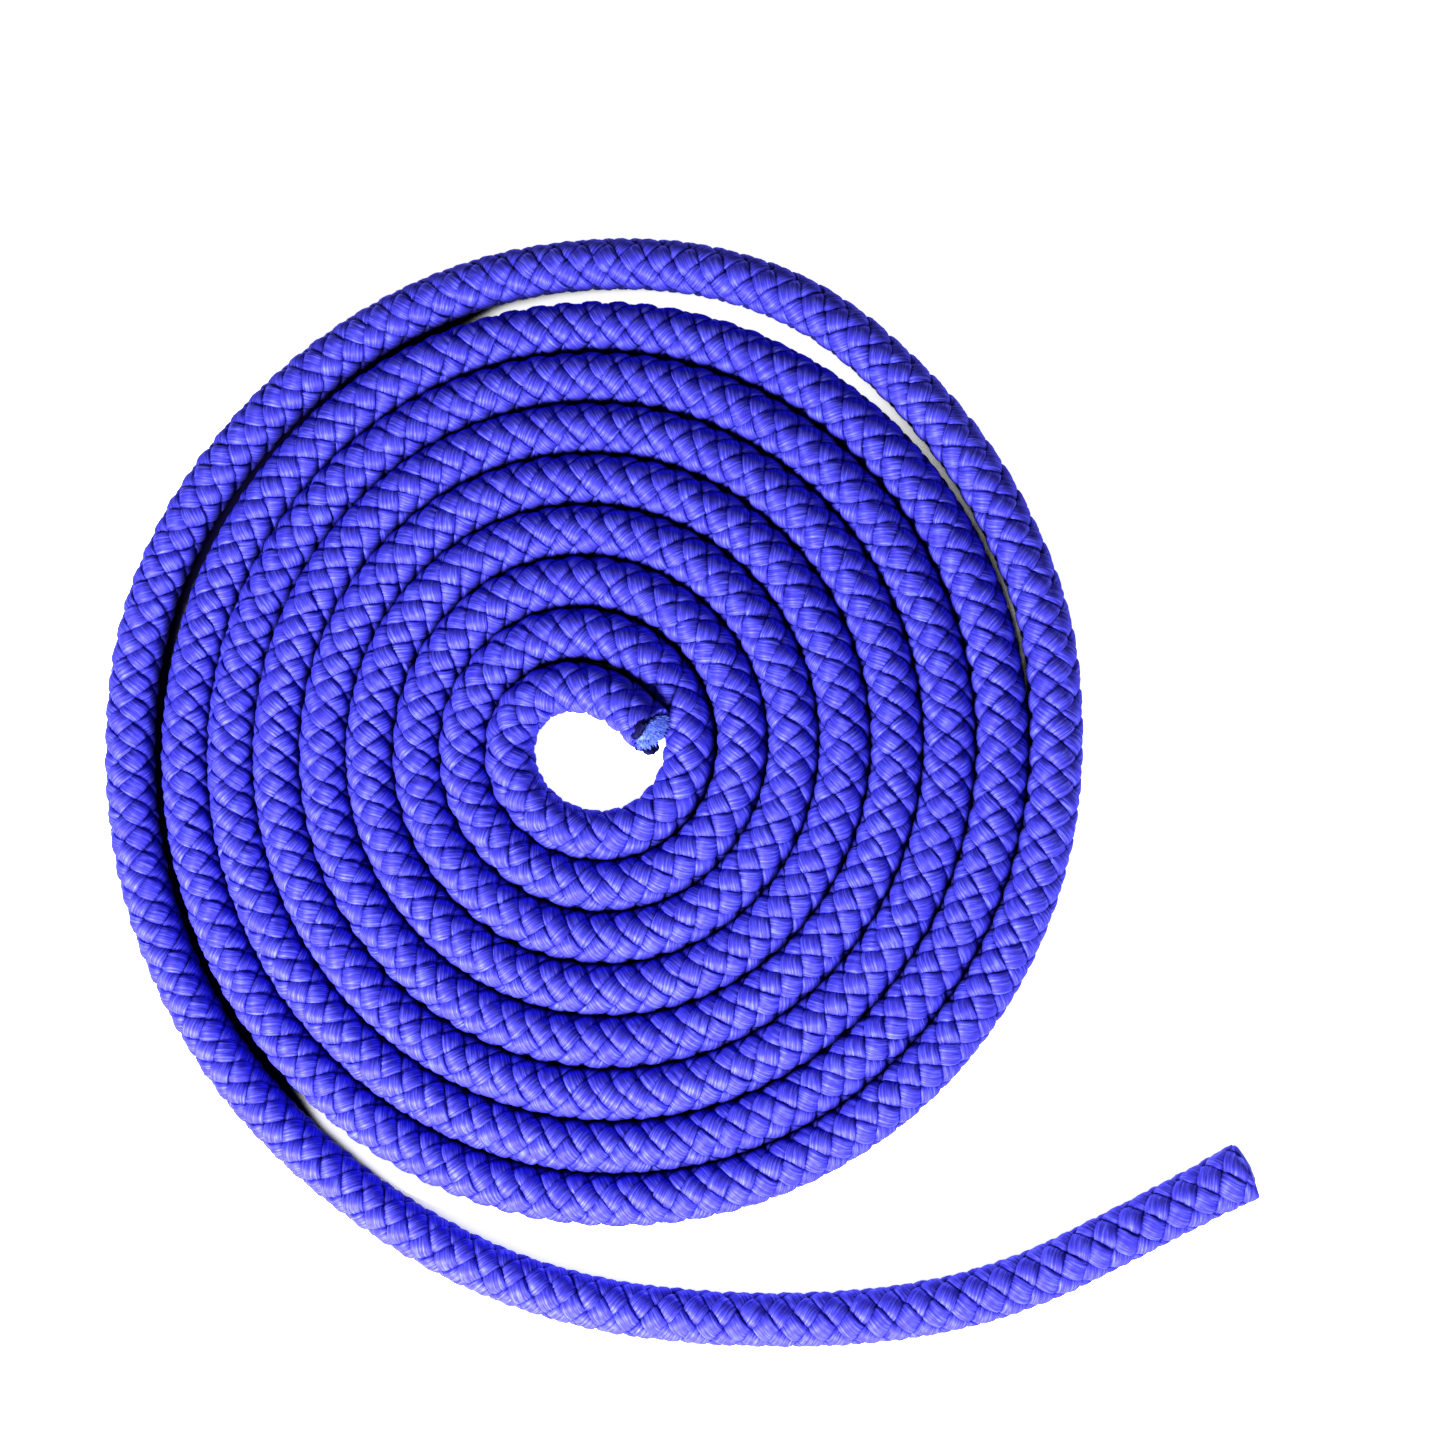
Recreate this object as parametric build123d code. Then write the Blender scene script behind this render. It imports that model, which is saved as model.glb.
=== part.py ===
from build123d import *

import math
import os

# A soft braided rope, wound by hand into a flat spiral with its outer end left out as a tail.
# Millimetres, +Z up.  The rope lies on the plane z = 0 and every centreline runs at half its
# thickness.  The sheath and the core are separate pieces, each cut in two where the wound turns
# end and the loose stretch starts.  Every place along the rope is an angle round the coil and a
# distance from one spiral, so the inner end, the turns and the tail keep together.

# ---- the rope's own section -------------------------------------------------------------------
ROPE_DIAMETER = 10.0         # across the flats of the sheath
SHEATH_STRANDS = 8           # the braid has eight strands, so the sheath shows eight flat columns
CORE_DIAMETER = 6.0          # across the flats of the filament bundle inside
CORE_SIDES = 6               # parallel bundles pack into six flats
CORE_CLEARANCE = 0.1         # slack between the core and the inside of the sheath

# ---- the flat coil ----------------------------------------------------------------------------
TURN_GAP = 0.15              # air between two turns that lie side by side
COIL_RADIUS = 20.2           # centreline radius of the spiral at angle zero
COIL_TURNS = 7               # whole turns from angle zero out to the end of the coil
COIL_LEAD_IN = 204.0         # degrees of wound turn before angle zero
OVAL = 0.7                   # the hand-wound turns are this much longer one way than round
OVAL_ANGLE = -23.0           # direction of the long way, degrees
POINTS_PER_TURN = 28         # straight runs in each turn

# Centre of the spiral, off the origin so that the box of the whole rope is centred on it.
COIL_CENTRE = (-12.99, 6.78)

# ---- routes laid by hand: (angle in degrees, stand-off from the spiral) ------------------------
# Inner end: tucked nearly straight against the second turn.
INNER_END_POINTS = [
    (-343.5, 0.6), (-324.5, -1.3), (-297.5, -2.1), (-270.0, -1.8), (-245.5, -0.7), (-224.0, -0.2),
]
# Loose stretch, in angles from the end of the coil: the outermost turn bulges away over the top,
# closes up on the left and swings out below the coil into the free tail.
TAIL_POINTS = [
    (17.0, 2.2), (40.5, 3.4), (68.0, 8.0), (98.5, 5.4), (127.5, 3.9), (158.5, 5.5), (188.5, 3.3),
    (215.5, 3.3), (240.5, 4.3), (264.0, 9.5), (286.0, 16.2), (306.0, 30.0), (322.5, 40.2),
    (328.0, 46.6),
]

# ---- the two cut ends ---------------------------------------------------------------------------
SEAL_LENGTH = 1.6            # melted rim that closes the outer end
SEAL_FLARE = 0.3             # the rim swells this far past the sheath
SEAL_MOUTH = 5.0             # opening that the drawn-in strand ends leave in the rim
TUFT_LENGTH = 1.8            # core fibres standing out of the inner end
TUFT_TIP_DIAMETER = 4.0
BEAD_DIAMETER = 1.7          # beads of melted strand on the rim of the inner end
BEAD_HEIGHT = 0.8
BEAD_CROWN = 0.6             # share of a bead's diameter left at its top
BEAD_ANGLES = (100.0, 250.0)  # places of the beads round the rim


def spiral_radius(angle):
    """Centreline radius of the spiral at an angle in degrees, counted on through every turn."""
    pitch = ROPE_DIAMETER + TURN_GAP
    lobe = OVAL * math.cos(math.radians(2 * (angle - OVAL_ANGLE)))
    return COIL_RADIUS + pitch * angle / 360 + lobe


def laid_point(angle, stand_off):
    """Point on the rope's centreline level, at an angle and a distance from the spiral."""
    radius = spiral_radius(angle) + stand_off
    x = COIL_CENTRE[0] + radius * math.cos(math.radians(angle))
    y = COIL_CENTRE[1] + radius * math.sin(math.radians(angle))
    return Vector(x, y, ROPE_DIAMETER / 2)


def coil_points():
    """Corners of the wound turns, each just outside the spiral, which the middles of the runs touch."""
    step = 360 / POINTS_PER_TURN
    first = round(-COIL_LEAD_IN / step)
    last = COIL_TURNS * POINTS_PER_TURN
    outside = 1 / math.cos(math.radians(step / 2)) - 1
    angles = [index * step for index in range(first, last + 1)]
    return [laid_point(angle, outside * spiral_radius(angle)) for angle in angles]


def corner_radii(points):
    """Bend radius at each corner: as large as the shorter of its two runs allows."""
    radii = []
    for before, corner, after in zip(points, points[1:], points[2:]):
        shorter = min((corner - before).length, (after - corner).length)
        turn = (corner - before).get_angle(after - corner)
        radii.append(0.45 * shorter / math.tan(math.radians(turn / 2)))
    return radii


def flats(diameter, sides):
    """Regular section measured across its flats."""
    return RegularPolygon(diameter / 2, sides, major_radius=False, rotation=180 / sides)


def run_along(path, diameter, sides):
    """Solid of one section carried along a path, mitred where the path has corners."""
    start = Plane(origin=path @ 0, z_dir=path % 0)
    return sweep(start * flats(diameter, sides), path=path, transition=Transition.RIGHT)


def sheath_along(path):
    """Hollow sheath with room for the core."""
    bore = run_along(path, CORE_DIAMETER + 2 * CORE_CLEARANCE, CORE_SIDES)
    return run_along(path, ROPE_DIAMETER, SHEATH_STRANDS) - bore


def core_along(path):
    """Filament bundle inside the sheath."""
    return run_along(path, CORE_DIAMETER, CORE_SIDES)


def end_section(end_plane, beyond, diameter, sides, lift=0.0):
    """Section beyond a cut end, with its middle raised by lift."""
    middle = end_plane.origin + end_plane.z_dir * beyond + Vector(0, 0, lift)
    return Plane(origin=middle, z_dir=end_plane.z_dir) * flats(diameter, sides)


def outer_end_seal(end_plane):
    """Melted rim of the outer end: it swells upwards off the floor, then draws in over the core."""
    swell = ROPE_DIAMETER + 2 * SEAL_FLARE
    drawn_in = (swell + SEAL_MOUTH) / 2
    sections = [
        end_section(end_plane, 0, ROPE_DIAMETER, SHEATH_STRANDS),
        end_section(end_plane, SEAL_LENGTH / 2, swell, SHEATH_STRANDS, lift=SEAL_FLARE),
        end_section(end_plane, SEAL_LENGTH, drawn_in, SHEATH_STRANDS),
    ]
    mouth = extrude(end_plane * flats(SEAL_MOUTH, SHEATH_STRANDS), SEAL_LENGTH)
    return loft(sections, ruled=True) - mouth


def core_tuft(end_plane):
    """Pale core fibres that stand out of the inner end."""
    root = end_section(end_plane, 0, CORE_DIAMETER, CORE_SIDES)
    tip = end_section(end_plane, TUFT_LENGTH, TUFT_TIP_DIAMETER, CORE_SIDES)
    return loft([root, tip], ruled=True)


def inner_end_beads(end_plane):
    """Beads of melted strand, each seated with a flat on the rim of the inner end."""
    rim = (ROPE_DIAMETER + CORE_DIAMETER) / 4 + CORE_CLEARANCE
    beads = []
    for angle in BEAD_ANGLES:
        seat = end_plane * Rot(0, 0, angle) * Pos(rim, 0, 0)
        foot = seat * flats(BEAD_DIAMETER, SHEATH_STRANDS)
        crown = seat * Pos(0, 0, BEAD_HEIGHT) * flats(BEAD_CROWN * BEAD_DIAMETER, SHEATH_STRANDS)
        beads.append(loft([foot, crown], ruled=True))
    return Compound(beads)


os.makedirs("parts", exist_ok=True)

turns = coil_points()
inner_route = [laid_point(angle, stand_off) for angle, stand_off in INNER_END_POINTS]
tail_route = [laid_point(COIL_TURNS * 360 + angle, stand_off) for angle, stand_off in TAIL_POINTS]
join = (turns[-1] + tail_route[0]) / 2
tail_route.insert(0, join)

coil_path = Polyline(*inner_route, *turns, join)
tail_radii = corner_radii(tail_route)
tail_path = FilletPolyline(*tail_route, radius=tail_radii)

inner_end = Plane(origin=coil_path @ 0, z_dir=-(coil_path % 0))
outer_end = Plane(origin=tail_path @ 1, z_dir=tail_path % 1)

nodes = {
    "sheath_coil": sheath_along(coil_path),
    "sheath_tail": sheath_along(tail_path),
    "core_coil": core_along(coil_path),
    "core_tail": core_along(tail_path),
    "outer_end_seal": outer_end_seal(outer_end),
    "inner_end_beads": inner_end_beads(inner_end),
    "core_tuft": core_tuft(inner_end),
}
for name, solid in nodes.items():
    export_step(solid, f"parts/{name}.step")

box = Compound(list(nodes.values())).bounding_box()
print("box of the rope:", box)
print("tail bend radii:", [round(radius, 1) for radius in tail_radii])
print("coil length:", round(coil_path.length, 1), " tail length:", round(tail_path.length, 1))
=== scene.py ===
import math

import bmesh
import bpy
import numpy as np
from mathutils import Matrix, Vector


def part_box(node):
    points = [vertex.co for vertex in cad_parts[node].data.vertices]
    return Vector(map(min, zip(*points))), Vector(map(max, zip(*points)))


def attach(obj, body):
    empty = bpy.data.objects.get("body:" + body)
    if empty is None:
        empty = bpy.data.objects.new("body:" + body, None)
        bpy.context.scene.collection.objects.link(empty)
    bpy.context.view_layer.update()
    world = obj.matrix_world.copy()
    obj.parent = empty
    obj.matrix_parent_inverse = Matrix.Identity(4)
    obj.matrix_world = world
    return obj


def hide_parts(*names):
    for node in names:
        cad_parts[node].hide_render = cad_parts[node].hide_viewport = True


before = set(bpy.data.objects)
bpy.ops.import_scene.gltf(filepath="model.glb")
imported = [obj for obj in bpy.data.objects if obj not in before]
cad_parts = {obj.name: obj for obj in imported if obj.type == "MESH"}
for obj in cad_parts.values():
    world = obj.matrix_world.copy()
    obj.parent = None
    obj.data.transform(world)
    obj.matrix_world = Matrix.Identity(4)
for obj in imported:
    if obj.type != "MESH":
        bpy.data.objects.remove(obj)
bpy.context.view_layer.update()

bl_info = {
    "name": "Braided Rope Coil",
    "version": (1, 0, 0),
    "blender": (4, 5, 0),
    "location": "3D View > Sidebar > Rope",
    "description": "Weaves an eight-strand rope along a flat coil and dresses its two cut ends",
    "category": "Object",
}

# ---- the route of the rope, in metres, as the solids have it ------------------------------------
MM = 0.001
SOLID_LOW, SOLID_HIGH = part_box("sheath_coil")
ROPE_DIAMETER = SOLID_HIGH[2] - SOLID_LOW[2]
TURN_GAP = 0.00015
HALF_PITCH = (ROPE_DIAMETER + TURN_GAP) / 2
COIL_RADIUS = 0.0202
COIL_TURNS = 7
COIL_LEAD_IN = 204.0
OVAL = 0.0007
OVAL_ANGLE = -23.0
POINTS_PER_TURN = 28
COIL_CENTRE = (-0.01299, 0.00678)
LINE_RESOLUTION = 24     # straight pieces that the line is read in between two control points

# The soft rope's wound turns lie a little aside of the solids, and closer together across.
SETTLE_SHIFT = (0.0009, 0.0003)
SETTLE_IN = 0.0005
SETTLE_ACROSS = 0.0006
SETTLE_FROM = -200       # degrees on the coil from which the shift grows
SETTLE_TO = 360          # degrees on the coil at which it is whole

# The rope is soft: it lies a little wider than round, and its flanks are pressed flat.
WIDENED = 1.03
FLANK_SOFTNESS = 0.08 * MM

# (angle in degrees, stand-off from the spiral, height above the rope's own level).  The tip leans
# up on the second turn.
INNER_END_POINTS = [
    (-350.5, 0.0046, 0.0052), (-331.0, 0.0020, 0.0034), (-304.0, 0.0004, 0.0014),
    (-275.0, -0.0003, 0.0004), (-248.0, -0.0002, 0.0), (-225.0, 0.0, 0.0),
]
TAIL_POINTS = [
    (17.0, 0.0022), (40.5, 0.0034), (68.0, 0.0080), (98.5, 0.0054), (127.5, 0.0039),
    (158.5, 0.0055), (188.5, 0.0033), (215.5, 0.0033), (240.5, 0.0043), (264.0, 0.0095),
    (286.0, 0.0162), (306.0, 0.0300), (322.5, 0.0402), (328.0, 0.0466),
]


def spiral_radius(angle):
    """Centreline radius of the spiral at an angle in degrees, counted on through every turn."""
    pitch = ROPE_DIAMETER + TURN_GAP
    lobe = OVAL * math.cos(math.radians(2 * (angle - OVAL_ANGLE)))
    return COIL_RADIUS + pitch * angle / 360 + lobe


def laid_point(angle, stand_off, lift=0.0):
    """Point at the rope's centreline level, at an angle and a distance from the spiral."""
    radius = spiral_radius(angle) + stand_off
    x = COIL_CENTRE[0] + radius * math.cos(math.radians(angle))
    y = COIL_CENTRE[1] + radius * math.sin(math.radians(angle))
    return (x, y, ROPE_DIAMETER / 2 + lift)


def settled(angle):
    """Sideways move of a wound turn of the soft rope from where the solids have it."""
    begun = min(max((angle - SETTLE_FROM) / (SETTLE_TO - SETTLE_FROM), 0), 1)
    grown = min(max(angle / (COIL_TURNS * 360), 0), 1)
    turned = math.radians(angle)
    inward = grown * (SETTLE_IN + SETTLE_ACROSS * math.cos(2 * turned))
    return (
        begun * SETTLE_SHIFT[0] - inward * math.cos(turned),
        begun * SETTLE_SHIFT[1] - inward * math.sin(turned),
    )


def route_points():
    """Control points of the whole rope, from the inner end round every turn to the tail's end."""
    step = 360 / POINTS_PER_TURN
    first = round(-COIL_LEAD_IN / step)
    outside = 1 / math.cos(math.radians(step / 2)) - 1
    points = [laid_point(*place) for place in INNER_END_POINTS]
    for index in range(first, COIL_TURNS * POINTS_PER_TURN + 1):
        angle = index * step
        x, y, z = laid_point(angle, outside * spiral_radius(angle))
        aside, along = settled(angle)
        points.append((x + aside, y + along, z))
    for angle, stand_off in TAIL_POINTS:
        points.append(laid_point(COIL_TURNS * 360 + angle, stand_off))
    return points


class Centreline:
    """The rope's line, read once from its NURBS spline, with a frame at any distance along it."""

    def __init__(self, points):
        curve = bpy.data.curves.new("rope_route", "CURVE")
        curve.dimensions = "3D"
        curve.resolution_u = LINE_RESOLUTION
        spline = curve.splines.new("NURBS")
        spline.points.add(len(points) - 1)
        for point, place in zip(spline.points, points):
            point.co = (*place, 1.0)
        spline.order_u = 3
        spline.use_endpoint_u = True
        carrier = bpy.data.objects.new("rope_route", curve)
        line = bpy.data.meshes.new_from_object(carrier)
        self.points = read_vertices(line)
        bpy.data.objects.remove(carrier)
        bpy.data.curves.remove(curve)
        bpy.data.meshes.remove(line)
        runs = np.linalg.norm(np.diff(self.points, axis=0), axis=1)
        self.along = np.concatenate([[0.0], np.cumsum(runs)])
        self.length = float(self.along[-1])
        tangents = np.gradient(self.points, self.along, axis=0)
        self.tangents = tangents / np.linalg.norm(tangents, axis=1)[:, None]

    def frame_at(self, distance):
        """Place, direction, sideways and upward vectors at distances along the rope."""
        place = np.stack([np.interp(distance, self.along, self.points[:, i]) for i in range(3)], -1)
        ahead = np.stack([np.interp(distance, self.along, self.tangents[:, i]) for i in range(3)], -1)
        ahead /= np.linalg.norm(ahead, axis=-1, keepdims=True)
        side = np.cross(ahead, [0.0, 0.0, 1.0])
        side /= np.linalg.norm(side, axis=-1, keepdims=True)
        return place, ahead, side, np.cross(side, ahead)

    def surface(self, distance, angle, radius, press=False):
        """Points at distances along the rope, angles round it and radii from its line."""
        place, ahead, side, up = self.frame_at(distance)
        sideways = radius * np.cos(angle)
        if press:
            sideways = pressed(sideways)
        upward = radius * np.sin(angle)
        return place + sideways[:, None] * side + upward[:, None] * up


def pressed(sideways):
    """Widens the rope a little and presses its sides flat where the next turn lies against them."""
    wide = WIDENED * np.abs(sideways)
    past = (wide - HALF_PITCH) / FLANK_SOFTNESS
    return np.sign(sideways) * (wide - FLANK_SOFTNESS * np.logaddexp(0, past))


def smooth_noise(x, spacing, seed):
    """Seeded random wander between -1 and 1 that changes about once every spacing."""
    low = math.floor(float(np.min(x)) / spacing) - 1
    high = math.ceil(float(np.max(x)) / spacing) + 2
    knots = np.random.default_rng(seed).uniform(-1, 1, high - low + 1)
    where = np.asarray(x) / spacing - low
    index = np.floor(where).astype(int)
    part = where - index
    part = part * part * (3 - 2 * part)
    return knots[index] * (1 - part) + knots[index + 1] * part


# ---- mesh helpers ------------------------------------------------------------------------------------
def read_vertices(mesh):
    """Vertex places of a mesh as an array with one row each."""
    places = np.empty(len(mesh.vertices) * 3)
    mesh.vertices.foreach_get("co", places)
    return places.reshape(-1, 3)


def new_grid(name, along, around):
    """Mesh of a flat grid with its vertices' whole-number steps along and around."""
    sheet = bmesh.new()
    bmesh.ops.create_grid(sheet, x_segments=along, y_segments=around, size=1.0)
    mesh = bpy.data.meshes.new(name)
    sheet.to_mesh(mesh)
    sheet.free()
    flat = (read_vertices(mesh) + 1) / 2
    return mesh, np.rint(flat[:, 0] * along), np.rint(flat[:, 1] * around).astype(int)


def close_tube(mesh):
    """Merges a rolled-up grid's seam, caps both its ends and turns its faces outward."""
    tube = bmesh.new()
    tube.from_mesh(mesh)
    bmesh.ops.remove_doubles(tube, verts=tube.verts, dist=1e-6)
    open_edges = [edge for edge in tube.edges if edge.is_boundary]
    bmesh.ops.holes_fill(tube, edges=open_edges, sides=0)
    bmesh.ops.recalc_face_normals(tube, faces=tube.faces)
    for face in tube.faces:
        face.smooth = True
    tube.to_mesh(mesh)
    tube.free()


def add_ball(lump, place, axes, size, subdivisions):
    """Adds a ball to a bmesh, stretched to its sizes along three axes of its own."""
    made = bmesh.ops.create_icosphere(lump, subdivisions=subdivisions, radius=1.0)
    stand = Matrix(axes).transposed().to_4x4()
    matrix = Matrix.Translation(place) @ stand @ Matrix.Diagonal((*size, 1.0))
    bmesh.ops.transform(lump, matrix=matrix, verts=made["verts"])


def roughen(lump, depth, seed):
    """Moves a lump's vertices at random, the same way on every run."""
    wander = np.random.default_rng(seed)
    for vertex in lump.verts:
        vertex.co += Vector(wander.uniform(-depth, depth, 3))


# ---- settings a user would change ------------------------------------------------------------------
class RopeSizes(bpy.types.PropertyGroup):
    """Sizes of the strands and the core"""
    lay_length: bpy.props.FloatProperty(
        name="Lay length", description="Distance along the rope in which a strand goes round once",
        default=0.0216, min=0.005, unit="LENGTH")
    cover: bpy.props.FloatProperty(
        name="Cover", description="Strand width as a share of the room between its neighbours",
        default=1.10, min=0.5, max=1.3, subtype="FACTOR")
    crown: bpy.props.FloatProperty(
        name="Crown", description="Height of a strand's rounded back above its edges",
        default=0.00070, unit="LENGTH")
    crimp: bpy.props.FloatProperty(
        name="Crimp", description="How far a strand rises and dips as it passes over and under",
        default=0.00066, unit="LENGTH")
    ply_relief: bpy.props.FloatProperty(
        name="Ply relief", description="Height of the bundles of filament that lie along a strand",
        default=0.00009, unit="LENGTH")
    flare: bpy.props.FloatProperty(
        name="Flare", description="How far the sheath opens before the outer cut end",
        default=0.0006, unit="LENGTH")
    core_radius: bpy.props.FloatProperty(
        name="Core radius", description="Radius of the filament bundle inside the sheath",
        default=0.0033, unit="LENGTH")


class RopeColours(bpy.types.PropertyGroup):
    """Colours of the rope and the table, as sRGB hex values"""
    sheath: bpy.props.StringProperty(
        name="Sheath", description="Dyed polypropylene filament", default="#4540D8")
    # Sheath shade and sheath glint are the painted shade and the painted highlight of the lines along a
    # strand.
    sheath_shade: bpy.props.StringProperty(
        name="Sheath shade", description="Filaments that lie deeper in a strand", default="#302A9E")
    # Painted shade where a strand dives under the others and at its edges.
    sheath_crevice_shade: bpy.props.StringProperty(
        name="Sheath crevice", description="Filaments that dive under a strand", default="#1E1A70")
    sheath_glint: bpy.props.StringProperty(
        name="Sheath glint", description="Filaments on top of a strand", default="#6C72FA")
    core: bpy.props.StringProperty(
        name="Core", description="Undyed core filament", default="#5C78E2")
    core_shade: bpy.props.StringProperty(
        name="Core shade", description="Core filament that lies deeper", default="#263CA6")
    # Painted shade deep between two turns of the rope.
    sheath_turn_shade: bpy.props.StringProperty(
        name="Sheath shelter", description="Sheath deep between two turns", default="#060A38")
    melt: bpy.props.StringProperty(
        name="Melt", description="Strand ends melted to a bead", default="#141148")
    melt_pit: bpy.props.StringProperty(
        name="Melt pit", description="Pits in the melted beads", default="#07061F")
    table: bpy.props.StringProperty(
        name="Table", description="Matt white table", default="#FFFFFF")
    # Painted shade of the table deep between two turns.
    table_gap_shade: bpy.props.StringProperty(
        name="Table in a gap", description="Table deep between two turns", default="#0C0A26")


def linear(hex_colour):
    """Linear RGBA of an sRGB hex value."""
    channels = [int(hex_colour[i:i + 2], 16) / 255 for i in (1, 3, 5)]
    return [c / 12.92 if c <= 0.04045 else ((c + 0.055) / 1.055) ** 2.4 for c in channels] + [1.0]


# ---- materials -------------------------------------------------------------------------------------
SHELTER_REACH = 0.007    # how near another turn must be for the sheath's painted shade
SKY_REACH = 0.014        # how near the rope must be for the table's painted shade
COIL_REACH = 0.097       # inside of the outermost turn, from the coil's middle
OPEN_SAMPLES = 10        # looks at the sky from the open table
GAP_SAMPLES = 64         # looks at the sky from the table inside the outermost turn
SKY_DARK = 0.12          # openness at which the table starts to whiten
SKY_WHITE = 0.28         # openness at which it is white

# Stretches of the long gap where the table's painted shade is deepened or lifted, by the way they lie
# from the middle of the table: direction, the distances between which the change comes in, and what it
# adds to the table's openness.
GAP_STRETCHES = (
    ((-0.974, 0.225, 0.0), 0.051, 0.063, -0.14),
    ((0.5, 0.866, 0.0), 0.030, 0.050, 0.06),
)


def add_node(tree, kind, links=None, values=None, **settings):
    """Adds one node: settings are its properties, values its sockets' values, links its inputs."""
    node = tree.nodes.new(kind)
    for name, setting in settings.items():
        setattr(node, name, setting)
    for socket, value in (values or {}).items():
        node.inputs[socket].default_value = value
    for socket, source in (links or {}).items():
        tree.links.new(source, node.inputs[socket])
    return node


def new_material(name):
    """Empty node material and its tree."""
    material = bpy.data.materials.new(name)
    material.use_nodes = True
    material.node_tree.nodes.clear()
    return material, material.node_tree


def add_ramp(tree, source, stops):
    """Colour ramp of (position, sRGB hex) stops, its two ends first, driven by a value."""
    ramp = add_node(tree, "ShaderNodeValToRGB", {"Fac": source})
    elements = ramp.color_ramp.elements
    for (position, colour), element in zip(stops, elements):
        element.position = position
        element.color = linear(colour)
    for position, colour in stops[2:]:
        elements.new(position).color = linear(colour)
    return ramp.outputs["Color"]


def filament_braid(colours):
    """Multifilament polypropylene, flat untwisted strands: fine lines along the strand, satin shine.

    The strand's own UV map runs in millimetres, U along it and V across it.  A filament is about
    0.04 mm thick; the lines are bundles of them, 0.3 to 1 mm apart and a few millimetres long.
    The filaments are clear and dyed through, so their shine is blue: a part of it is metallic.
    """
    material, tree = new_material("braided_polypropylene_filament")
    place = add_node(tree, "ShaderNodeUVMap", uv_map="strand_mm")
    noises = []
    for along, across, detail in ((0.22, 2.6, 3.0), (0.12, 0.9, 1.0)):
        stretched = add_node(
            tree, "ShaderNodeMapping", {"Vector": place.outputs["UV"]}, {"Scale": (along, across, 1.0)})
        noise = add_node(
            tree, "ShaderNodeTexNoise", {"Vector": stretched.outputs[0]},
            {"Scale": 1.0, "Detail": detail, "Roughness": 0.6})
        noises.append(noise.outputs["Fac"])
    lines, plies = noises
    # The lines are random streaks of the filament bundles. Their colour runs from a painted shade to a
    # painted highlight, the glint.
    tint = add_ramp(
        tree, lines, [(0.29, colours.sheath_shade), (0.72, colours.sheath_glint), (0.5, colours.sheath)])
    # Painted shade: the colour goes to the crevice colour where the strand dives under the others and at
    # its edges, with a comb-like border along the lines.
    depth = add_node(tree, "ShaderNodeAttribute", attribute_name="buried_shade")
    combed_shade = add_node(
        tree, "ShaderNodeMath", {0: lines, 2: depth.outputs["Fac"]}, {1: -1.1},
        operation="MULTIPLY_ADD")
    shaded = add_node(
        tree, "ShaderNodeMapRange", {"Value": combed_shade.outputs[0]}, {"From Min": -0.35, "From Max": 0.2})
    colour = add_node(
        tree, "ShaderNodeMix", {0: shaded.outputs[0], 6: tint}, {7: linear(colours.sheath_crevice_shade)},
        data_type="RGBA")
    # Painted shade: the sheath goes dark where another turn lies close.
    shelter = add_node(
        tree, "ShaderNodeAmbientOcclusion", values={"Distance": SHELTER_REACH}, samples=5)
    shelter_shaded = add_node(
        tree, "ShaderNodeMapRange", {"Value": shelter.outputs["AO"]},
        {"From Min": 0.12, "From Max": 0.58, "To Min": 0.14})
    colour = add_node(
        tree, "ShaderNodeMix", {0: shelter_shaded.outputs[0], 7: colour.outputs[2]},
        {6: linear(colours.sheath_turn_shade)}, data_type="RGBA")
    relief = add_node(tree, "ShaderNodeMath", {0: plies, 1: lines}, operation="ADD")
    bump = add_node(
        tree, "ShaderNodeBump", {"Height": relief.outputs[0]}, {"Strength": 0.3, "Distance": 0.00014})
    along = add_node(tree, "ShaderNodeTangent", direction_type="UV_MAP", uv_map="strand_mm")
    shader = add_node(
        tree, "ShaderNodeBsdfPrincipled",
        {"Base Color": colour.outputs[2], "Normal": bump.outputs[0], "Tangent": along.outputs[0]},
        {"Roughness": 0.6, "Anisotropic": 0.75, "Anisotropic Rotation": 0.25, "IOR": 1.49,
         "Metallic": 0.4, "Specular IOR Level": 0.15, "Specular Tint": linear(colours.sheath_glint)})
    add_node(tree, "ShaderNodeOutputMaterial", {"Surface": shader.outputs[0]})
    return material


def core_filament(colours):
    """Undyed polypropylene core: pale, matt, uncombed fibres, in tufts about 0.7 mm apart."""
    material, tree = new_material("undyed_core_filament")
    place = add_node(tree, "ShaderNodeTexCoord")
    speckle = add_node(
        tree, "ShaderNodeTexNoise", {"Vector": place.outputs["Object"]},
        {"Scale": 1400.0, "Detail": 3.0})
    tint = add_ramp(tree, speckle.outputs["Fac"], [(0.35, colours.core_shade), (0.6, colours.core)])
    bump = add_node(
        tree, "ShaderNodeBump", {"Height": speckle.outputs["Fac"]},
        {"Strength": 0.5, "Distance": 0.0001})
    shader = add_node(
        tree, "ShaderNodeBsdfPrincipled", {"Base Color": tint, "Normal": bump.outputs[0]},
        {"Roughness": 0.55, "IOR": 1.49, "Sheen Weight": 0.1})
    add_node(tree, "ShaderNodeOutputMaterial", {"Surface": shader.outputs[0]})
    return material


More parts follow.
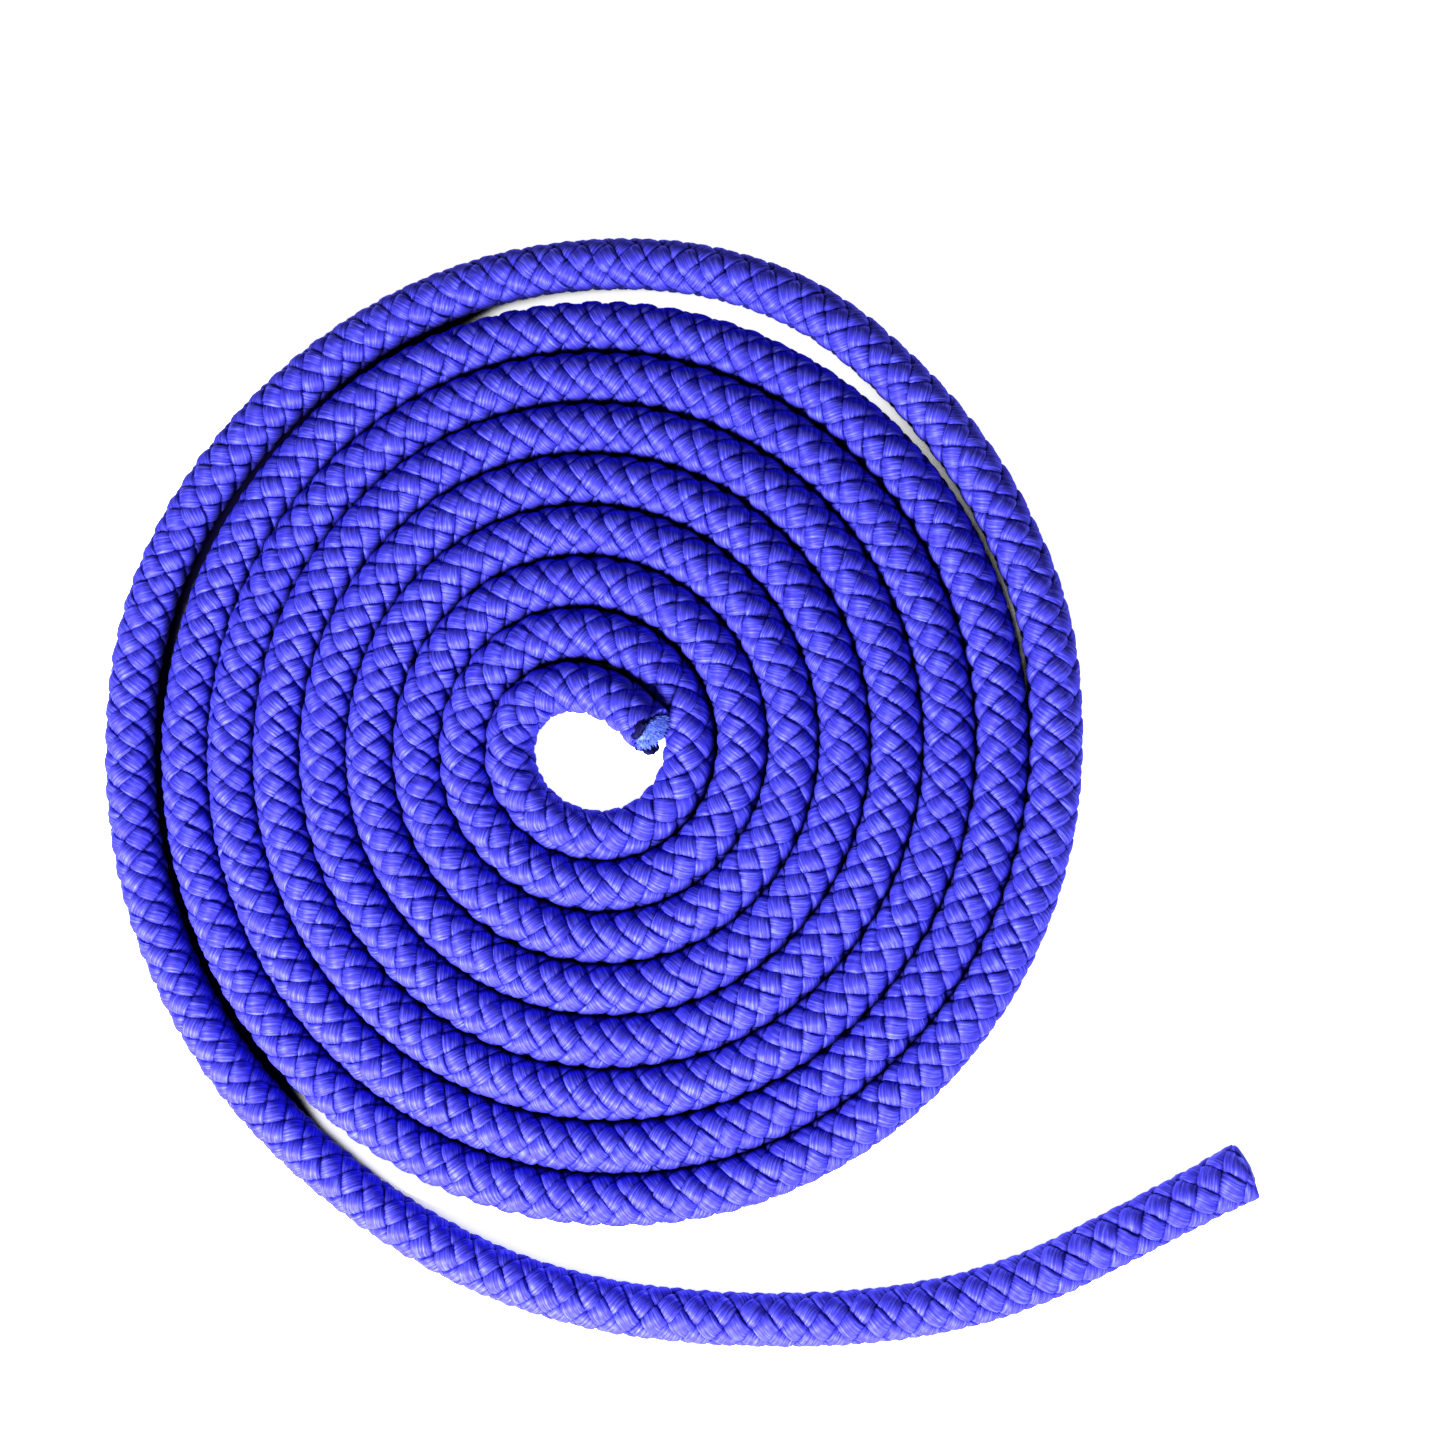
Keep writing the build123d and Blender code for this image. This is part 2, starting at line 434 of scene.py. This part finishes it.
def melted_filament(colours):
    """Polypropylene melted by a hot knife: dark, dull, with pits about 1 mm apart."""
    material, tree = new_material("melted_polypropylene")
    place = add_node(tree, "ShaderNodeTexCoord")
    pits = add_node(
        tree, "ShaderNodeTexNoise", {"Vector": place.outputs["Object"]}, {"Scale": 900.0, "Detail": 2.0})
    tint = add_ramp(tree, pits.outputs["Fac"], [(0.4, colours.melt_pit), (0.7, colours.melt)])
    bump = add_node(
        tree, "ShaderNodeBump", {"Height": pits.outputs["Fac"]}, {"Strength": 0.6, "Distance": 0.0002})
    shader = add_node(
        tree, "ShaderNodeBsdfPrincipled", {"Base Color": tint, "Normal": bump.outputs[0]},
        {"Roughness": 0.5, "IOR": 1.49, "Specular IOR Level": 0.2,
         "Specular Tint": linear(colours.sheath_glint)})
    add_node(tree, "ShaderNodeOutputMaterial", {"Surface": shader.outputs[0]})
    return material


def narrow_gaps(tree):
    """What to add to the table's openness inside the outermost turn, in two stretches of it.

    The long gap on the left of the coil is painted dark, as painted shade, at a width at which the one
    over its top and right is white.
    """
    place = add_node(tree, "ShaderNodeTexCoord")
    added = []
    for direction, start, end, amount in GAP_STRETCHES:
        reach = add_node(
            tree, "ShaderNodeVectorMath", {0: place.outputs["Object"]}, {1: direction},
            operation="DOT_PRODUCT")
        stretch = add_node(
            tree, "ShaderNodeMapRange", {"Value": reach.outputs["Value"]},
            {"From Min": start, "From Max": end, "To Max": amount}, interpolation_type="SMOOTHSTEP")
        added.append(stretch.outputs[0])
    return add_node(tree, "ShaderNodeMath", {0: added[0], 1: added[1]}, operation="ADD")


def table_half(tree, colours, samples, offset=None):
    """The table as white as it is open to the sky, with painted shade in narrow gaps, which leaves a
    painted shadow close round the rope.
    """
    path = add_node(tree, "ShaderNodeLightPath")
    seen = add_node(
        tree, "ShaderNodeMath",
        {0: path.outputs["Is Camera Ray"], 1: path.outputs["Is Glossy Ray"]}, operation="MAXIMUM")
    sky = add_node(
        tree, "ShaderNodeAmbientOcclusion", values={"Distance": SKY_REACH},
        samples=samples).outputs["AO"]
    if offset:
        sky = add_node(tree, "ShaderNodeMath", {0: sky, 1: offset}, operation="ADD").outputs[0]
    # Painted shade: the table's colour and its white glow go dark where the rope shuts off the sky.
    lit = add_node(
        tree, "ShaderNodeMapRange", {"Value": sky}, {"From Min": SKY_DARK, "From Max": SKY_WHITE},
        interpolation_type="SMOOTHERSTEP")
    shown = add_node(
        tree, "ShaderNodeMath", {0: seen.outputs[0], 1: lit.outputs[0]}, operation="MULTIPLY")
    white = linear(colours.table)
    shade = add_node(
        tree, "ShaderNodeMix", {0: lit.outputs[0]}, {6: linear(colours.table_gap_shade), 7: white},
        data_type="RGBA")
    matt = add_node(tree, "ShaderNodeBsdfDiffuse", {"Color": shade.outputs[2]})
    glow = add_node(tree, "ShaderNodeEmission", {"Strength": shown.outputs[0]}, {"Color": white})
    return add_node(tree, "ShaderNodeAddShader", {0: matt.outputs[0], 1: glow.outputs[0]}).outputs[0]


def white_table(colours):
    """Matt white table with painted shade.  Only inside the outermost turn are narrow gaps looked for
    with care.
    """
    material, tree = new_material("matt_white_table")
    place = add_node(tree, "ShaderNodeTexCoord")
    from_middle = add_node(
        tree, "ShaderNodeVectorMath", {0: place.outputs["Object"]}, {1: (*COIL_CENTRE, 0.0)},
        operation="DISTANCE")
    inside = add_node(
        tree, "ShaderNodeMath", {0: from_middle.outputs["Value"]}, {1: COIL_REACH},
        operation="LESS_THAN")
    whole = add_node(
        tree, "ShaderNodeMixShader",
        {0: inside.outputs[0], 1: table_half(tree, colours, OPEN_SAMPLES),
         2: table_half(tree, colours, GAP_SAMPLES, narrow_gaps(tree).outputs[0])})
    add_node(tree, "ShaderNodeOutputMaterial", {"Surface": whole.outputs[0]})
    return material


def add_piece(name, mesh, material, nodes):
    """Puts a mesh in the scene as a piece of the rope that stands for the CAD nodes named."""
    mesh.materials.clear()
    mesh.materials.append(material)
    piece = bpy.data.objects.new(name, mesh)
    bpy.context.scene.collection.objects.link(piece)
    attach(piece, "root")
    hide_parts(*nodes)
    return piece


def finish_lump(name, lump, material, nodes):
    """Turns a finished bmesh into a smooth piece."""
    bmesh.ops.recalc_face_normals(lump, faces=lump.faces)
    for face in lump.faces:
        face.smooth = True
    mesh = bpy.data.meshes.new(name)
    lump.to_mesh(mesh)
    lump.free()
    add_piece(name, mesh, material, nodes)


# ---- the braid ---------------------------------------------------------------------------------------
STRANDS = 8
EACH_WAY = STRANDS // 2
RINGS_PER_CROSSING = 6
BACK_POINTS = 12         # quads across the rounded back of a strand
BELLY_POINTS = 2         # quads across its flat underside
FOLD_IN = 3.4 * MM       # strand ends that turn in over the core at the outer end
CUT_SLANT = 0.17         # the outer end is cut this much off square
RAGGED = 0.5 * MM        # unevenness of the inner end's cut
RAGGED_SPACING = 0.3     # in crossings, across a strand
TABLE_CLEARANCE = 0.04 * MM
UV_APART = 10            # millimetres between two strands on the UV map

# How unevenly the rope is braided: an amount, and about how far apart it changes.
COLUMN_TURN = 0.35       # radians that the columns of crossings are turned, and wander
COLUMN_TURN_SPACING = 0.22   # metres
LEAN = 0.06              # sideways, as a share of a crossing
LEAN_SPACING = 1.7       # crossings, as the spacings below
WIDTH_CHANGE = 0.06
WIDTH_SPACING = 1.0
CRIMP_CHANGE = 0.1
CRIMP_SPACING = 1.0
PLY_SPACING = 0.8

# A strand's rise over the others, and where it gets painted shade as it dives under them.
RISE_SHARPNESS = 1.1
BACK_ROUNDING = 3.4      # power of the rounded back: 2 is an ellipse, more is flatter
BELLY_DEPTH = 0.55       # depth of the underside as a share of the back's height
CREVICE_SHADE_FROM = 0.35       # rise below which a strand's painted crevice shade starts
CREVICE_SHADE_OVER = 0.6        # rise over which the painted shade is whole
EDGE_SHADE = 0.4        # painted shade that its very edges always have

# The outer end: the sheath opens a little, then the strands turn in over the core.
FLARE_BACK = 2.5 * MM
FLARE_LENGTH = 3 * MM
FOLD_EASE = 0.8 * MM
FOLD_STEEPNESS = 1.3
FOLD_AHEAD = 0.9 * MM
FOLD_AHEAD_EASE = 0.7 * MM

LINE = Centreline(route_points())


def strand_outline():
    """One strand's section: places across it from -1 to 1, and its height from 0 to 1, all round."""
    back = np.linspace(-1, 1, BACK_POINTS + 1)
    belly = np.linspace(1, -1, BELLY_POINTS + 1)[1:]
    across = np.concatenate([back, belly])
    rounded = np.sqrt(1 - np.abs(back) ** BACK_ROUNDING)
    return across, np.concatenate([rounded, -BELLY_DEPTH * (1 - belly ** 2)])


def column_turn(distance):
    """How far the columns of crossings have turned round the rope, in radians."""
    return COLUMN_TURN + COLUMN_TURN * smooth_noise(distance, COLUMN_TURN_SPACING, 5)


def cut_to_length(passed, beside, number, hand, step):
    """Ends a strand on the rope's two cuts, and gives how far it folds in past the outer one."""
    angle = (2 * number + hand * (passed + beside)) * 2 * math.pi / STRANDS
    lateral = ROPE_DIAMETER / 2 * np.cos(angle + column_turn(LINE.length))
    first = RAGGED * (1 + smooth_noise(beside, RAGGED_SPACING, 300 + 10 * number + hand))
    last = LINE.length - CUT_SLANT * lateral
    passed = np.clip(passed, first / step + beside, (last + FOLD_IN) / step + beside)
    distance = (passed - beside) * step
    folded = np.clip(distance - last, 0, FOLD_IN)
    return passed, distance - folded, folded


def vectors_at(distance):
    """Place, direction, sideways and upward vectors at one distance along the rope."""
    return (Vector(rows[0]) for rows in LINE.frame_at(np.array([distance])))


class ROPE_OT_lay_strands(bpy.types.Operator):
    """Weave the eight sheath strands, over one and under one, round the rope's line"""
    bl_idname = "rope.lay_strands"
    bl_label = "Lay Sheath Strands"

    def execute(self, context):
        sizes = context.scene.rope_sizes
        material = filament_braid(context.scene.rope_colours)
        for hand, letter in ((1, "s"), (-1, "z")):
            for number in range(EACH_WAY):
                name = f"sheath_strand_{letter}{number + 1}"
                mesh = self.weave(name, sizes, number, hand)
                close_tube(mesh)
                add_piece(name, mesh, material, ["sheath_coil", "sheath_tail"])
        return {"FINISHED"}

    def weave(self, name, sizes, number, hand):
        """One strand, counted in crossings: an eighth of a turn and of the lay length each.

        A point that has passed so many crossings, and lies so many beside the strand's middle, is
        passed - beside steps along the rope and passed + beside eighths of a turn round it.
        """
        step = sizes.lay_length / STRANDS
        crossings = int(LINE.length / step) + 3
        across, height = strand_outline()
        mesh, ring, spot = new_grid(name, crossings * RINGS_PER_CROSSING, len(across) - 1)

        passed = ring / RINGS_PER_CROSSING - 1.0
        seed = 20 + number + (10 if hand > 0 else 0)
        lean = LEAN * smooth_noise(passed, LEAN_SPACING, seed + 40)
        half = 0.5 * sizes.cover * (1 + WIDTH_CHANGE * smooth_noise(passed, WIDTH_SPACING, seed))
        beside = lean + across[spot] * half
        passed, distance, folded = cut_to_length(passed, beside, number, hand, step)

        rise = hand * np.tanh(RISE_SHARPNESS * np.cos(math.pi * passed)) / math.tanh(RISE_SHARPNESS)
        uneven = 1 + CRIMP_CHANGE * smooth_noise(passed, CRIMP_SPACING, seed + 80)
        to_end = LINE.length - distance
        opened = sizes.flare * np.exp(-((to_end - FLARE_BACK) / FLARE_LENGTH) ** 2)
        radius = ROPE_DIAMETER / 2 - sizes.crimp - sizes.crown + opened
        radius = radius + sizes.crimp * rise * uneven + sizes.crown * height[spot]
        for column in range(1, BACK_POINTS):
            ply = spot == column
            wander = smooth_noise(passed[ply], PLY_SPACING, 1000 + seed * 50 + column)
            radius[ply] += sizes.ply_relief * wander

        angle = (2 * number + hand * (passed + beside)) * 2 * math.pi / STRANDS
        angle = angle + column_turn(distance)
        turned_in = FOLD_STEEPNESS * folded ** 2 / (folded + FOLD_EASE)
        places = LINE.surface(distance, angle, radius - turned_in, press=True)
        bulged = FOLD_AHEAD * (1 - np.exp(-folded / FOLD_AHEAD_EASE))
        places += bulged[:, None] * LINE.tangents[-1]
        places[:, 2] = np.maximum(places[:, 2], TABLE_CLEARANCE)
        mesh.vertices.foreach_set("co", places.ravel())

        # Painted shade, kept on the strand: how far it dives under the others, and its very edges.
        buried_shade = mesh.attributes.new("buried_shade", "FLOAT", "POINT")
        depth = np.clip((CREVICE_SHADE_FROM - rise) / CREVICE_SHADE_OVER, 0, 1)
        depth = depth + EDGE_SHADE * np.abs(across[spot]) ** 8
        buried_shade.data.foreach_set("value", np.clip(depth, 0, 1))
        self.map_in_millimetres(mesh, sizes, passed, beside, number + EACH_WAY * (hand > 0))
        return mesh

    def map_in_millimetres(self, mesh, sizes, passed, beside, strand):
        """UV map with the strand's own length and width in millimetres, apart for every strand."""
        slant = math.hypot(sizes.lay_length, math.pi * ROPE_DIAMETER) / STRANDS / MM
        places = np.stack([passed * slant, beside * slant + UV_APART * strand], -1)
        corner = np.empty(len(mesh.loops), dtype=np.int32)
        mesh.loops.foreach_get("vertex_index", corner)
        layer = mesh.uv_layers.new(name="strand_mm")
        layer.data.foreach_set("uv", places[corner].ravel())


# ---- the core and the cut ends -----------------------------------------------------------------------
CORE_SIDES = 12
CORE_RING_SPACING = 2.5 * MM
CORE_START = 0.5 * MM    # the core starts this far behind the inner cut
CORE_SHORT = 2.0 * MM    # and stops this far short of the outer one
TUFT_BACK = 0.6 * MM
TUFT_WIDTH = 1.16        # the tuft's cushion and its filaments' roots, in core radii
TUFT_ROOTS = 1.15
TUFT_DEPTH = 1.4 * MM
TUFT_FILAMENTS = 320
TUFT_TANGLE = 0.35       # how far a filament strays from its way, and how far the tuft spreads
TUFT_SPREAD = 0.7
TUFT_LENGTHS = (0.0010, 0.0026)
FILAMENT_ROOT = 0.16 * MM
FILAMENT_TIP = 0.06 * MM

# Melted blots on the inner end's rim, and the plug inside the outer end's folded strands.
# (angle round the rim, distance from the cut, sizes round, along and out)
RIM_BLOTS = (
    (104.0, 0.0004, (0.0021, 0.0012, 0.0006)),
    (228.0, 0.0002, (0.0018, 0.0014, 0.0009)),
)
RIM_RADIUS = 4.5 * MM
PLUG_BACK = 0.4 * MM
PLUG_SIZE = (0.0032, 0.0032, 0.0012)


class ROPE_OT_lay_core(bpy.types.Operator):
    """Run the core through the sheath and open its tuft at the inner end"""
    bl_idname = "rope.lay_core"
    bl_label = "Lay Core"

    def execute(self, context):
        sizes = context.scene.rope_sizes
        material = core_filament(context.scene.rope_colours)
        rings = int(LINE.length / CORE_RING_SPACING)
        mesh, ring, spot = new_grid("rope_core", rings, CORE_SIDES)
        distance = CORE_START + ring / rings * (LINE.length - CORE_START - CORE_SHORT)
        angle = spot / CORE_SIDES * 2 * math.pi
        radius = np.full(len(ring), sizes.core_radius)
        mesh.vertices.foreach_set("co", LINE.surface(distance, angle, radius).ravel())
        close_tube(mesh)
        add_piece("rope_core", mesh, material, ["core_coil", "core_tail"])
        self.tuft(sizes, material)
        return {"FINISHED"}

    def tuft(self, sizes, material):
        """Cut core filaments that spread out of the inner end."""
        place, ahead, side, up = vectors_at(TUFT_BACK)
        wander = np.random.default_rng(7)
        lump = bmesh.new()
        width = sizes.core_radius * TUFT_WIDTH
        add_ball(lump, place, (side, up, -ahead), (width, width, TUFT_DEPTH), subdivisions=4)
        roughen(lump, depth=0.00016, seed=8)
        for _ in range(TUFT_FILAMENTS):
            reach = sizes.core_radius * TUFT_ROOTS * math.sqrt(wander.uniform())
            angle = wander.uniform(0, 2 * math.pi)
            out = math.cos(angle) * side + math.sin(angle) * up
            tangled = Vector(wander.uniform(-TUFT_TANGLE, TUFT_TANGLE, 3))
            spread = tangled + out * TUFT_SPREAD * reach / sizes.core_radius
            direction = (spread - ahead).normalized()
            length = wander.uniform(*TUFT_LENGTHS) * (1.2 - 0.6 * reach / sizes.core_radius)
            middle = place + out * reach + direction * length / 2
            turned = direction.to_track_quat("Z", "Y").to_matrix().to_4x4()
            bmesh.ops.create_cone(
                lump, segments=5, radius1=FILAMENT_ROOT, radius2=FILAMENT_TIP, depth=length,
                cap_ends=True, matrix=Matrix.Translation(middle) @ turned)
        finish_lump("core_tuft_filaments", lump, material, ["core_tuft"])


class ROPE_OT_dress_ends(bpy.types.Operator):
    """Melt the cut ends: two blots on the inner end's rim and a plug in the outer end"""
    bl_idname = "rope.dress_ends"
    bl_label = "Dress Cut Ends"

    def execute(self, context):
        melt = melted_filament(context.scene.rope_colours)
        self.rim_blots(melt)
        self.plug(melt)
        return {"FINISHED"}

    def rim_blots(self, material):
        """Melted blots that sit on the inner end's rim."""
        lump = bmesh.new()
        for angle, back, size in RIM_BLOTS:
            place, ahead, side, up = vectors_at(back)
            turned = math.radians(angle)
            out = math.cos(turned) * side + math.sin(turned) * up
            add_ball(
                lump, place + out * RIM_RADIUS, (out.cross(ahead), ahead, out), size, subdivisions=3)
        roughen(lump, depth=0.0002, seed=3)
        finish_lump("inner_end_melt", lump, material, ["inner_end_beads"])

    def plug(self, material):
        """Melted mass that holds the strand ends together inside the outer cut."""
        place, ahead, side, up = vectors_at(LINE.length)
        lump = bmesh.new()
        add_ball(lump, place - ahead * PLUG_BACK, (side, up, ahead), PLUG_SIZE, subdivisions=4)
        roughen(lump, depth=0.00012, seed=4)
        finish_lump("outer_end_melt", lump, material, ["outer_end_seal"])


# ---- table, lamps and camera -------------------------------------------------------------------------
TABLE_REACH = 3.0
WORLD_LIGHT = 0.02       # the white studio's own light on the rope

# Soft boxes: name, bearing and height in degrees as seen from the coil's middle, distance and
# width in metres, power in watts.
LAMPS = (
    ("key_soft_box", 238.0, 39.0, 0.45, 0.18, 6.5),
    ("low_window", 278.0, 18.0, 0.70, 0.30, 6.3),
    ("low_fill", 345.0, 22.0, 0.70, 0.30, 0.6),
)
EYE = (0.0951, -0.00787, 0.3963)
TARGET = (0.01451, 0.01139, 0.005)
FOCAL_LENGTH = 51.27     # millimetres, on a film 36 mm wide
FILM_WIDTH = 36.0


class ROPE_OT_set_stage(bpy.types.Operator):
    """Lay the white table, hang the lamps and set the camera"""
    bl_idname = "rope.set_stage"
    bl_label = "Set Stage"

    def execute(self, context):
        scene = context.scene
        sheet = bmesh.new()
        bmesh.ops.create_grid(sheet, x_segments=1, y_segments=1, size=TABLE_REACH)
        mesh = bpy.data.meshes.new("table")
        sheet.to_mesh(mesh)
        sheet.free()
        mesh.materials.append(white_table(scene.rope_colours))
        table = bpy.data.objects.new("table", mesh)
        scene.collection.objects.link(table)
        self.lamps(scene)
        self.camera(scene)
        scene.view_settings.view_transform = "Standard"
        return {"FINISHED"}

    def lamps(self, scene):
        """White studio, and the soft boxes that light the rope."""
        world = bpy.data.worlds.new("studio")
        world.use_nodes = True
        tree = world.node_tree
        back = tree.nodes["Background"]
        back.inputs["Color"].default_value = linear(scene.rope_colours.table)
        path = add_node(tree, "ShaderNodeLightPath")
        strength = add_node(
            tree, "ShaderNodeMath", {0: path.outputs["Is Camera Ray"]}, {1: WORLD_LIGHT},
            operation="MAXIMUM")
        tree.links.new(strength.outputs[0], back.inputs["Strength"])
        scene.world = world
        middle = Vector((*COIL_CENTRE, ROPE_DIAMETER / 2))
        for name, bearing, height, distance, size, power in LAMPS:
            turned = math.radians(bearing)
            raised = math.radians(height)
            level = math.cos(raised)
            away = Vector((level * math.cos(turned), level * math.sin(turned), math.sin(raised)))
            lamp = bpy.data.lights.new(name, "AREA")
            lamp.size = size
            lamp.energy = power
            holder = bpy.data.objects.new(name, lamp)
            holder.location = middle + away * distance
            holder.rotation_euler = away.to_track_quat("Z", "Y").to_euler()
            scene.collection.objects.link(holder)

    def camera(self, scene):
        """Camera held almost straight above, a little to the right of the coil."""
        lens = bpy.data.cameras.new("camera")
        lens.sensor_width = FILM_WIDTH
        lens.lens = FOCAL_LENGTH
        camera = bpy.data.objects.new("camera", lens)
        back = (Vector(EYE) - Vector(TARGET)).normalized()
        right = Vector((0, 1, 0)).cross(back).normalized()
        camera.location = EYE
        camera.rotation_euler = Matrix((right, back.cross(right), back)).transposed().to_euler()
        scene.collection.objects.link(camera)
        scene.camera = camera


class ROPE_PT_panel(bpy.types.Panel):
    """The rope's settings and its building steps"""
    bl_label = "Braided Rope Coil"
    bl_idname = "ROPE_PT_panel"
    bl_space_type = "VIEW_3D"
    bl_region_type = "UI"
    bl_category = "Rope"

    def draw(self, context):
        layout = self.layout
        for group in (context.scene.rope_sizes, context.scene.rope_colours):
            for name in group.bl_rna.properties.keys():
                if name not in ("rna_type", "name"):
                    layout.prop(group, name)
        for step in STEPS:
            layout.operator(step.bl_idname)


STEPS = (ROPE_OT_set_stage, ROPE_OT_lay_strands, ROPE_OT_lay_core, ROPE_OT_dress_ends)
CLASSES = (RopeSizes, RopeColours, *STEPS, ROPE_PT_panel)


def register():
    for each in CLASSES:
        bpy.utils.register_class(each)
    bpy.types.Scene.rope_sizes = bpy.props.PointerProperty(type=RopeSizes)
    bpy.types.Scene.rope_colours = bpy.props.PointerProperty(type=RopeColours)


def unregister():
    del bpy.types.Scene.rope_colours
    del bpy.types.Scene.rope_sizes
    for each in reversed(CLASSES):
        bpy.utils.unregister_class(each)


def main():
    register()
    bpy.ops.rope.set_stage()
    bpy.ops.rope.lay_strands()
    bpy.ops.rope.lay_core()
    bpy.ops.rope.dress_ends()
    others = [f"sheath_strand_{name}" for name in ("s2", "s3", "s4", "z1", "z2", "z3", "z4")]
    others += ["rope_core", "core_tuft_filaments", "inner_end_melt", "outer_end_melt"]


if __name__ == "__main__":
    main()
